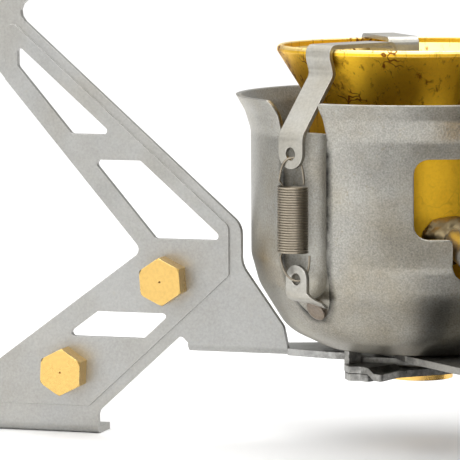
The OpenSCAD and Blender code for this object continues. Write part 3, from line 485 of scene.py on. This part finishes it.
def metal(name, color, rough, variation=0.12, scale=2500.0, depth=0.3, wear_and_highlight=0.35, stain=0.0,
          stain_color=(0.82, 0.74, 0.60), width=EDGE_WIDTH, crease_shade=0.0, soot_and_shade=0.0):
    """A metal with a fine grain and rubbed edges painted brighter, partly as wear and partly as a
    painted highlight, and, where asked for, stains, painted shade in the channel creases, or soot
    and painted shade round the hub.

    A scale is a noise's own, so the grain is finer where it is higher.
    """
    material, tree, shader = new_material(name)
    shader.inputs["Metallic"].default_value = 1.0
    edges = grouped(tree, WEAR_AND_HIGHLIGHT, Width=width)
    grain = grouped(tree, GRAIN, Color=color, Variation=variation, Grain_Scale=scale, Depth=depth,
                    Roughness=rough, Normal=edges.outputs["Normal"])
    shade = grain.outputs["Color"]
    if stain:
        shade = grouped(tree, STAINS, Color=shade, Stain=stain_color, Amount=stain).outputs["Color"]
    # Rubbed edges painted brighter: partly worn metal, partly a painted highlight along the edge.
    worn_highlight = tuple(min(1.0, c * 1.5 + 0.1) for c in color)
    shade = mix(tree, product(tree, edges.outputs["Mask"], wear_and_highlight), shade, worn_highlight)
    # Painted shade along the channel creases, darker than the metal's own colour.
    if crease_shade:
        lines = grouped(tree, CREASE_SHADE, Amount=crease_shade)
        shade = mix(tree, lines.outputs["Mask"], shade, darker(color, 0.07))
    # Soot and scuffs round the hub, with painted shade between the stacked plates and along their
    # edges.
    if soot_and_shade:
        dirt_and_shade = grouped(tree, SOOT_AND_SHADE, Edges=edges.outputs["Mask"], Amount=soot_and_shade)
        shade = mix(tree, dirt_and_shade.outputs["Mask"], shade, darker(color, 0.08))
    link(tree, shade, shader.inputs["Base Color"])
    link(tree, grain.outputs["Roughness"], shader.inputs["Roughness"])
    link(tree, grain.outputs["Normal"], shader.inputs["Normal"])
    return material


def used_brass(name, color, mark, rough, amount, streaks, patch=60.0, wear_and_highlight=0.3, cracks=0.0,
               worn_highlight=(1.0, 0.85, 0.55), top=None):
    """Brass with brown heat marks, rubbed edges painted brighter as wear and painted highlight, and
    a painted highlight, paler where it faces up, if top is given.
    """
    material, tree, shader = new_material(name)
    shader.inputs["Metallic"].default_value = 1.0
    edges = grouped(tree, WEAR_AND_HIGHLIGHT, Width=EDGE_WIDTH)
    grain = grouped(tree, GRAIN, Color=color, Variation=0.1, Grain_Scale=1800.0, Depth=0.15,
                    Roughness=rough, Normal=edges.outputs["Normal"])
    heat = grouped(tree, HEAT, Patch_Scale=patch, Amount=amount, Streaks=streaks, Cracks=cracks)
    shade = grain.outputs["Color"]
    # Painted highlight: the brass is painted paler where it faces up, as if lit from above.
    if top:
        upper = grouped(tree, FACING_UP, From=0.3, To=0.55)
        shade = mix(tree, upper.outputs["Mask"], shade, top)
    shade = mix(tree, heat.outputs["Mask"], shade, mark)
    # Rubbed edges painted brighter: partly wear, partly a painted highlight.
    shade = mix(tree, product(tree, edges.outputs["Mask"], wear_and_highlight), shade, worn_highlight)
    duller = product(tree, heat.outputs["Mask"], 0.15)
    link(tree, shade, shader.inputs["Base Color"])
    link(tree, maths(tree, "ADD", grain.outputs["Roughness"], duller), shader.inputs["Roughness"])
    link(tree, grain.outputs["Normal"], shader.inputs["Normal"])
    return material


def knob_moulding(name):
    """Dark moulded plastic, a little uneven in its gloss."""
    material, tree, shader = new_material(name)
    shader.inputs["Base Color"].default_value = (0.02, 0.02, 0.02, 1)
    cloud = noise(tree, object_place(tree), 900.0)
    link(tree, remap(tree, cloud, NOISE_LOW, NOISE_HIGH, 0.42, 0.58), shader.inputs["Roughness"])
    return material


def fibre_felt(name):
    """Pressed pale felt with a rough nap."""
    material, tree, shader = new_material(name)
    fibre = noise(tree, object_place(tree), 1500.0, detail=5.0, rough=0.7)
    link(tree, mix(tree, fibre, (0.55, 0.52, 0.45), (0.80, 0.78, 0.72)), shader.inputs["Base Color"])
    shader.inputs["Roughness"].default_value = 0.95
    link(tree, bump(tree, fibre, distance=0.3 * MM).outputs[0], shader.inputs["Normal"])
    return material


# Every finish: one for each slot of the record, and one for each node with its own look
FINISHES = {
    "titanium_leg": (metal, dict(color=(0.395, 0.394, 0.382), rough=0.44, variation=0.16,
                                 scale=2200.0, depth=0.4, wear_and_highlight=0.6, stain=0.35, soot_and_shade=1.0)),
    "titanium_cup": (metal, dict(color=(0.335, 0.326, 0.296), rough=0.35, variation=0.4,
                                 scale=3000.0, depth=0.55, wear_and_highlight=1.0, stain=0.7, width=0.45 * MM,
                                 crease_shade=1.0)),
    "steel": (metal, dict(color=(0.50, 0.48, 0.44), rough=0.32, variation=0.08, scale=2000.0,
                          depth=0.2)),
    "strap_steel": (metal, dict(color=(0.44, 0.43, 0.395), rough=0.40, variation=0.16, scale=2000.0,
                                wear_and_highlight=0.7, stain=0.5)),
    "rivet_steel": (metal, dict(color=(0.25, 0.215, 0.185), rough=0.42, variation=0.3, scale=1500.0,
                                depth=0.5, wear_and_highlight=0.1, stain=0.9)),
    "spring_steel": (metal, dict(color=(0.30, 0.262, 0.205), rough=0.30, variation=0.15, depth=0.2,
                                 wear_and_highlight=0.0)),
    "tube_steel": (metal, dict(color=(0.62, 0.60, 0.56), rough=0.3, variation=0.1, scale=1500.0,
                               depth=0.2)),
    # The bowl's top colour is a painted highlight on the faces that look up.
    "brass_bowl": (used_brass, dict(color=(0.99, 0.60, 0.04), mark=(0.22, 0.075, 0.008), rough=0.44,
                                    amount=0.52, streaks=0.8, patch=70.0, wear_and_highlight=0.9, cracks=1.7,
                                    top=(1.0, 0.78, 0.32))),
    "brass": (used_brass, dict(color=(0.95, 0.60, 0.12), mark=(0.24, 0.12, 0.03), rough=0.30,
                               amount=0.2, streaks=0.1)),
    "brass_jet": (metal, dict(color=(0.72, 0.475, 0.155), rough=0.28, scale=1500.0, depth=0.25,
                              wear_and_highlight=0.9)),
    "brass_nut": (metal, dict(color=(0.97, 0.60, 0.17), rough=0.28, variation=0.08, scale=1500.0,
                              depth=0.15, wear_and_highlight=0.8)),
    "braze": (used_brass, dict(color=(0.19, 0.15, 0.085), mark=(0.03, 0.02, 0.01), rough=0.40,
                               amount=0.7, streaks=0.5, patch=260.0)),
    "knob_plastic": (knob_moulding, {}),
    "felt": (fibre_felt, {}),
}

# The nodes that look unlike their slot
NODE_LOOKS = {"flame_bowl": "brass_bowl", "strap_1": "strap_steel", "strap_2": "strap_steel",
              "strap_3": "strap_steel", "hook_rivets": "rivet_steel", "hub_nut": "brass_nut"}


def dress(node, material):
    """Gives a carried-over CAD node its material."""
    mesh = nodes[node].data
    mesh.materials.clear()
    mesh.materials.append(material)


def dress_nodes(looks):
    """Gives every CAD node the finish of its slot, or its own."""
    for row in frame["record"]["subparts"]:
        name = row["node"]
        dress(name, looks[NODE_LOOKS.get(name, row["material_slot"])])


# Springs
def hook_point(along, coil_end, upper):
    """A point of a spring's hook at azimuth 0: its tip where along is 0, the coil where it is 1."""
    coil_r = SPRING_R - WIRE_R
    angle = math.pi * along
    to_seat = UPPER_SEAT_Z - coil_end if upper else coil_end - LOWER_SEAT_Z
    off_coil = HOOK_TIP_OUT * (1 - along) + (to_seat - HOOK_TIP_OUT / 2) * math.sin(angle)
    crossing = max(-1, min(1, (along - 0.5) * HOOK_CROSSING_RATE)) * HOOK_CROSSING
    to_plate = (TONGUE_AT if upper else HOOK_AT) - SPRING_AT
    return (SPRING_AT + to_plate * min(1, 2 - 2 * along) + crossing,
            (coil_r - HOOK_TIP_IN * (1 - along)) * math.cos(angle),
            coil_end + off_coil if upper else coil_end - off_coil)


def spring_path():
    """Points of one spring's wire, from its upper hook to its lower one, at azimuth 0."""
    coil_r = SPRING_R - WIRE_R
    top = SPRING_MID_Z + SPRING_LEN / 2
    low = top - SPRING_LEN
    steps = SPRING_TURNS * POINTS_A_TURN
    points = [hook_point(i / HOOK_POINTS, top, True) for i in range(HOOK_POINTS)]
    for i in range(steps + 1):
        angle = COIL_START + 2 * math.pi * i / POINTS_A_TURN
        points.append((SPRING_AT + coil_r * math.cos(angle), coil_r * math.sin(angle),
                       top - SPRING_LEN * i / steps))
    points += [hook_point(i / HOOK_POINTS, low, False) for i in range(HOOK_POINTS - 1, -1, -1)]
    return points


def make_spring(index, azimuth, look):
    """A close-wound spring with a hook at each end, as a swept wire."""
    name = f"wound_spring_{index}"
    curve = bpy.data.curves.new(name, "CURVE")
    curve.dimensions = "3D"
    curve.bevel_depth = WIRE_R
    curve.bevel_resolution = 2
    curve.use_fill_caps = True
    path = spring_path()
    spline = curve.splines.new("POLY")
    spline.points.add(len(path) - 1)
    turn = Matrix.Rotation(math.radians(azimuth), 3, "Z")
    for point, at in zip(spline.points, path):
        point.co = (*(turn @ Vector(at)), 1)
    piece = bpy.data.objects.new(name, curve)
    bpy.context.scene.collection.objects.link(piece)
    select_alone(piece)
    bpy.ops.object.convert(target="MESH")
    piece = bpy.context.object
    bpy.ops.object.shade_smooth()
    record_piece(piece, look, f"spring_{index}")


# Pieces that Blender makes in place of plainer CAD solids
def keep_origin():
    """Moves the active piece's place, turn and size into its mesh, so its origin is the world's."""
    bpy.ops.object.transform_apply(location=True, rotation=True, scale=True)


def turned(piece, azimuth):
    """Turns the active piece round the burner's axis, in its mesh."""
    piece.rotation_euler = (0, 0, math.radians(azimuth))
    keep_origin()


def modifier(piece, kind, **values):
    """Adds a modifier to the active piece and applies it."""
    added = piece.modifiers.new(kind.lower(), kind)
    for key, value in values.items():
        setattr(added, key, value)
    bpy.ops.object.modifier_apply(modifier=added.name)


def cut_or_join(piece, other, operation):
    """Applies a boolean with another mesh, which is then removed."""
    select_alone(piece)
    modifier(piece, "BOOLEAN", object=other, operation=operation, solver="EXACT")
    bpy.data.objects.remove(other)


def pick_faces(piece, axis, sign):
    """Selects the faces of the active piece, in edit mode, that look along an axis."""
    bpy.ops.mesh.select_mode(type="FACE")
    bpy.ops.mesh.select_all(action="DESELECT")
    bpy.ops.object.mode_set(mode="OBJECT")
    for face in piece.data.polygons:
        face.select = face.normal[axis] * sign > 0.9
    bpy.ops.object.mode_set(mode="EDIT")


def extrude_to(move, widen, centre):
    """Extrudes the selected faces by a step and widens them round a centre."""
    bpy.ops.mesh.extrude_region_move(TRANSFORM_OT_translate={"value": move})
    bpy.ops.transform.resize(value=(1, widen, 1), center_override=centre)


def round_edges(piece, width, angle):
    """Bevels the active piece's edges that turn by more than an angle in degrees."""
    modifier(piece, "BEVEL", width=width, segments=2, limit_method="ANGLE",
             angle_limit=math.radians(angle))


def finish_piece(piece, name, look, node):
    """Names, shades and dresses a finished piece, and hides the CAD node it stands for."""
    piece.name = name
    piece.data.name = name
    select_alone(piece)
    bpy.ops.object.shade_smooth_by_angle(angle=math.radians(35))
    record_piece(piece, look, node)


def add_disc(vertices, radius, depth, location, flat_to_x=False):
    """A new cylinder along Z, or along X, with its place in its mesh."""
    turn = (0, math.pi / 2, 0) if flat_to_x else (0, 0, 0)
    bpy.ops.mesh.primitive_cylinder_add(vertices=vertices, radius=radius, depth=depth, rotation=turn,
                                        location=location)
    keep_origin()
    return bpy.context.object


def make_hook_clip(index, azimuth, look):
    """A hook plate: a round eye, a neck, and a foot that turns in to the cup over the rivet."""
    deselect()
    bpy.ops.mesh.primitive_cube_add(size=1, location=(HOOK_AT, 0, HOOK_HOLE_Z - CLIP_NECK_H / 2),
                                    scale=(CLIP_T, 2 * CLIP_EYE_R, CLIP_NECK_H))
    piece = bpy.context.object
    keep_origin()
    bpy.ops.object.mode_set(mode="EDIT")
    pick_faces(piece, 2, -1)
    for move, widen, side in CLIP_FOOT:
        extrude_to(tuple(step * MM for step in move), widen, (HOOK_AT, side * MM, 0))
    toe = (HOOK_AT, CLIP_FOOT[-1][2] * MM, CLIP_TOE_Z)
    bpy.ops.transform.rotate(value=CLIP_TOE_TURN, orient_axis="X", center_override=toe)
    bpy.ops.object.mode_set(mode="OBJECT")
    hole_at = (HOOK_AT, 0, HOOK_HOLE_Z)
    cut_or_join(piece, add_disc(48, CLIP_EYE_R, CLIP_T, hole_at, flat_to_x=True), "UNION")
    cut_or_join(piece, add_disc(32, CLIP_HOLE_R, 4 * CLIP_T, hole_at, flat_to_x=True), "DIFFERENCE")
    round_edges(piece, 0.16 * MM, 40)
    turned(piece, azimuth)
    finish_piece(piece, f"hook_clip_{index}", look, f"hook_plate_{index}")


def make_rivet_heads(look):
    """The rivet heads under the hook clips: low discs with a raised, slightly dished middle."""
    proud = 0.40 * CLIP_T
    at = (RIVET_AT[0] + proud * math.sin(RIVET_TILT), RIVET_SIDE,
          RIVET_AT[1] + proud * math.cos(RIVET_TILT))
    heads = []
    for azimuth in CLIP_AZIMUTHS:
        deselect()
        bpy.ops.mesh.primitive_cylinder_add(vertices=48, radius=RIVET_HEAD_R, depth=RIVET_HEAD_H,
                                            location=at)
        head = bpy.context.object
        bpy.ops.object.mode_set(mode="EDIT")
        pick_faces(head, 2, 1)
        for inset, rise in RIVET_STEPS:
            bpy.ops.mesh.inset(thickness=inset)
            bpy.ops.transform.translate(value=(0, 0, rise))
        bpy.ops.object.mode_set(mode="OBJECT")
        head.rotation_euler = (0, RIVET_TILT, 0)
        keep_origin()
        turned(head, azimuth)
        heads.append(head)
    select_alone(heads[0])
    for head in heads[1:]:
        head.select_set(True)
    bpy.ops.object.join()
    piece = bpy.context.object
    round_edges(piece, 0.12 * MM, 30)
    finish_piece(piece, "rivet_heads", look, "hook_rivets")


def make_braze_lump(look):
    """The rough heap of brazing metal where the fuel tube enters the bowl."""
    deselect()
    bpy.ops.mesh.primitive_ico_sphere_add(subdivisions=4, radius=BRAZE_R, location=BRAZE_AT,
                                          scale=(0.86, 1.22, 1.0))
    piece = bpy.context.object
    bpy.ops.object.mode_set(mode="EDIT")
    bpy.ops.mesh.select_all(action="SELECT")
    bpy.ops.transform.vertex_random(offset=0.55 * MM, uniform=0.0, normal=1.0, seed=7)
    bpy.ops.mesh.vertices_smooth(factor=0.5, repeat=2)
    bpy.ops.mesh.subdivide(number_cuts=1, smoothness=1.0)
    bpy.ops.transform.vertex_random(offset=0.07 * MM, uniform=0.0, normal=1.0, seed=3)
    bpy.ops.object.mode_set(mode="OBJECT")
    keep_origin()
    cut_or_join(piece, add_disc(128, BOWL_R, 30 * MM, (0, 0, BRAZE_AT[2])), "DIFFERENCE")
    finish_piece(piece, "braze_lump", look, "brazed_joint")


# Stage
def matt_paint(name, shade, rough):
    """A plain grey for the floor and the cards, which aren't part of the stove."""
    material, _, shader = new_material(name)
    shader.inputs["Base Color"].default_value = (shade, shade, shade, 1)
    shader.inputs["Roughness"].default_value = rough
    return material


def make_floor():
    """The plain pale floor under the stove's feet."""
    deselect()
    bpy.ops.mesh.primitive_plane_add(size=6, location=(0, 0, GROUND_Z))
    floor = bpy.context.object
    floor.name = "studio_floor"
    floor.data.materials.append(matt_paint("studio_floor", 0.9, 0.6))


def aim(at, target):
    """The turn that points a light or a card from its place to its target."""
    return (Vector(at) - Vector(target)).to_track_quat("Z", "Y")


def place_lamp(data, at, target):
    """Puts a light in the scene, pointed at its target."""
    lamp = bpy.data.objects.new(data.name, data)
    lamp.location = at
    lamp.rotation_mode = "QUATERNION"
    lamp.rotation_quaternion = aim(at, target)
    bpy.context.scene.collection.objects.link(lamp)


def soft_light(name, at, target, size, power):
    """A rectangular soft box that faces its target."""
    data = bpy.data.lights.new(name, "AREA")
    data.shape = "RECTANGLE"
    data.size, data.size_y = size
    data.energy = power
    place_lamp(data, at, target)


def overhead_sky(name, at, target, power, spread):
    """A very wide soft light from above, the same over the whole floor."""
    data = bpy.data.lights.new(name, "SUN")
    data.energy = power
    data.angle = math.radians(spread)
    place_lamp(data, at, target)


def stage_card(name, placed, size, shade):
    """A plain card of the stage that only shows where the metal reflects it."""
    deselect()
    bpy.ops.mesh.primitive_plane_add(size=1)
    card = bpy.context.object
    card.name = name
    card.matrix_world = placed @ Matrix.Diagonal((*size, 1, 1))
    card.data.materials.append(matt_paint(name, shade, 0.9))
    card.visible_camera = card.visible_diffuse = card.visible_shadow = False


def standing_card(name, at, target, size, shade=0.02):
    """A card that stands and faces its target."""
    turn = aim(at, target).to_matrix().to_4x4()
    stage_card(name, Matrix.Translation(at) @ turn, size, shade)


def floor_card(name, x, y, size, shade, level=1 * MM):
    """A card that lies on the floor, square to the picture."""
    turn = Matrix.Rotation(PHOTO_TURN, 4, "Z")
    stage_card(name, Matrix.Translation(photo_point(x, y, level)) @ turn, size, shade)


def make_world():
    """A faint, slightly warm light from all sides."""
    world = bpy.data.worlds.new("studio_world")
    world.use_nodes = True
    background = world.node_tree.nodes["Background"]
    background.inputs["Color"].default_value = (1, 0.995, 0.98, 1)
    background.inputs["Strength"].default_value = 0.55
    bpy.context.scene.world = world


def make_lights():
    """The studio: a wide light overhead, three soft boxes, and the cards that the metal reflects."""
    middle = photo_point(-0.02, 0, 0.05)
    overhead_sky("overhead_sky", photo_point(-0.35, -0.1, 1.0), middle, power=2.45, spread=120)
    soft_light("left_box", photo_point(-0.62, -0.42, 0.3), middle, size=(0.4, 0.6), power=0.8)
    soft_light("front_box", photo_point(0, -0.75, 0.85), middle, size=(0.9, 0.5), power=3.5)
    soft_light("top_box", photo_point(0.02, 0.16, 0.5), photo_point(0, 0, 0.1), size=(0.3, 0.3),
               power=0.9)
    floor_card("front_floor", 0.42, -0.85, size=(1.2, 1.1), shade=0.04)
    floor_card("left_floor", -0.85, -0.95, size=(1.0, 1.0), shade=0.2)
    # A dark card lying where the fixed leg shades the floor, seen only in reflections: a painted
    # shadow.
    floor_card("right_floor_shadow", 0.073, -0.036, size=(0.15, 0.075), shade=0.05, level=1.5 * MM)
    standing_card("right_card", photo_point(0.75, -0.25, 0.2), middle, size=(0.6, 0.8))
    standing_card("side_card", photo_point(0.17, -0.13, 0.03), photo_point(0, 0, 0.03),
                  size=(0.2, 0.1), shade=0.1)
    standing_card("back_left_card", photo_point(-0.8, 0.35, 0.25), middle, size=(0.5, 0.6))


make_camera()
looks = {name: make(name, **values) for name, (make, values) in FINISHES.items()}
dress_nodes(looks)
for number, azimuth in enumerate(CLIP_AZIMUTHS, 1):
    make_spring(number, azimuth, looks["spring_steel"])
    make_hook_clip(number, azimuth, looks["strap_steel"])
make_rivet_heads(looks["rivet_steel"])
make_braze_lump(looks["braze"])
make_floor()
make_world()
make_lights()
